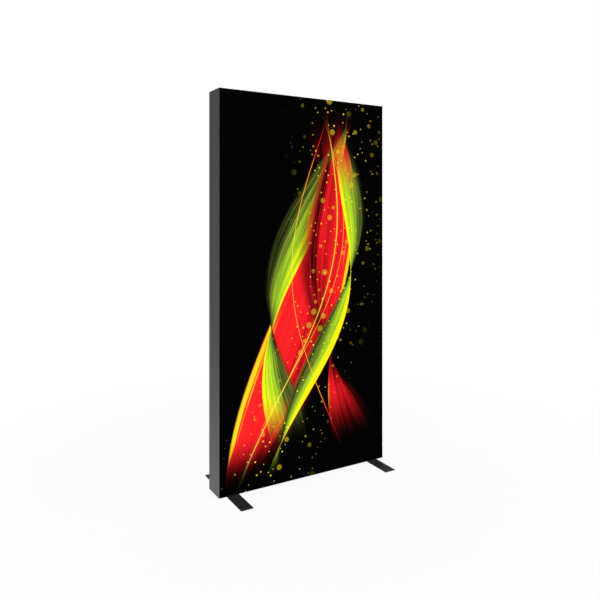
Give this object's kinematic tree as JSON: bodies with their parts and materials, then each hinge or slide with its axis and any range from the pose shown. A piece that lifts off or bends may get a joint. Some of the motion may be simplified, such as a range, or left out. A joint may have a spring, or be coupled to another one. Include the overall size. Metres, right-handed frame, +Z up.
{
  "type": "lightbox display wall",
  "caption": "Free-standing backlit fabric display: a tall mitred aluminium frame with fabric on both faces, on two flat steel feet.",
  "frame": {"origin": "on the floor, under the middle of the frame", "axes": "+Z up, -Y out of the lit front, +X to the right as seen from the front"},
  "size_m": [1.1751, 0.532, 2.3456],
  "materials": {
    "anodised_profile": "dark grey satin anodised",
    "bracket_aluminium": "plain mill finish",
    "front_print": "knitted polyester, dye-sublimation print, lit from behind",
    "rear_liner": "knitted polyester with a light-blocking back",
    "silicone": "translucent silicone strip",
    "foot_coating": "black powder coat on steel",
    "screw_steel": "zinc plated",
    "pad_rubber": "matte black",
    "led_bar": "white-coated board with clear lenses",
    "driver_case": "satin",
    "lead_jacket": "black jacket",
    "inlet_plastic": "black moulded",
    "switch_plastic": "black moulded, glossy",
    "blade_plating": "nickel plated",
    "fuse_ceramic": "white body with plated caps"
  },
  "bodies": {
    "frame": {"bottom_rail": "anodised_profile", "top_rail": "anodised_profile", "left_upright_lower": "anodised_profile", "left_upright_upper": "anodised_profile", "right_upright_lower": "anodised_profile", "right_upright_upper": "anodised_profile", "bottom_left_front_bracket": "bracket_aluminium", "bottom_left_rear_bracket": "bracket_aluminium", "bottom_right_front_bracket": "bracket_aluminium", "bottom_right_rear_bracket": "bracket_aluminium", "top_left_front_bracket": "bracket_aluminium", "top_left_rear_bracket": "bracket_aluminium", "top_right_front_bracket": "bracket_aluminium", "top_right_rear_bracket": "bracket_aluminium", "left_front_splice": "bracket_aluminium", "left_rear_splice": "bracket_aluminium", "right_front_splice": "bracket_aluminium", "right_rear_splice": "bracket_aluminium", "left_stabiliser_bracket": "bracket_aluminium", "right_stabiliser_bracket": "bracket_aluminium", "stabiliser_bar": "bracket_aluminium", "front_fabric": "front_print", "rear_fabric": "rear_liner", "front_bottom_bead": "silicone", "front_top_bead": "silicone", "front_left_bead": "silicone", "front_right_bead": "silicone", "rear_bottom_bead": "silicone", "rear_top_bead": "silicone", "rear_left_bead": "silicone", "rear_right_bead": "silicone", "left_foot": "foot_coating", "right_foot": "foot_coating", "left_front_foot_screw": "screw_steel", "left_rear_foot_screw": "screw_steel", "right_front_foot_screw": "screw_steel", "right_rear_foot_screw": "screw_steel", "left_front_pad": "pad_rubber", "left_rear_pad": "pad_rubber", "right_front_pad": "pad_rubber", "right_rear_pad": "pad_rubber", "left_lower_led_bar": "led_bar", "left_upper_led_bar": "led_bar", "right_lower_led_bar": "led_bar", "right_upper_led_bar": "led_bar", "led_driver": "driver_case", "mains_lead": "lead_jacket", "left_led_lead": "lead_jacket", "right_led_lead": "lead_jacket", "inlet_housing": "inlet_plastic", "line_blade": "blade_plating", "neutral_blade": "blade_plating", "earth_blade": "blade_plating"},
    "rocker": {"rocker_switch": "switch_plastic"},
    "drawer": {"fuse_drawer": "switch_plastic", "fuse": "fuse_ceramic"}
  },
  "joints": [
    {"name": "rocker_tilt", "type": "hinge", "parent": "frame", "child": "rocker", "pos_m": [0.5848, 0, 0.1806], "axis": [0, 0, -1], "range_deg": [0, 16]},
    {"name": "fuse_drawer_slide", "type": "slide", "parent": "frame", "child": "drawer", "axis": [1, 0, 0], "range_m": [0, 0.02]}
  ]
}
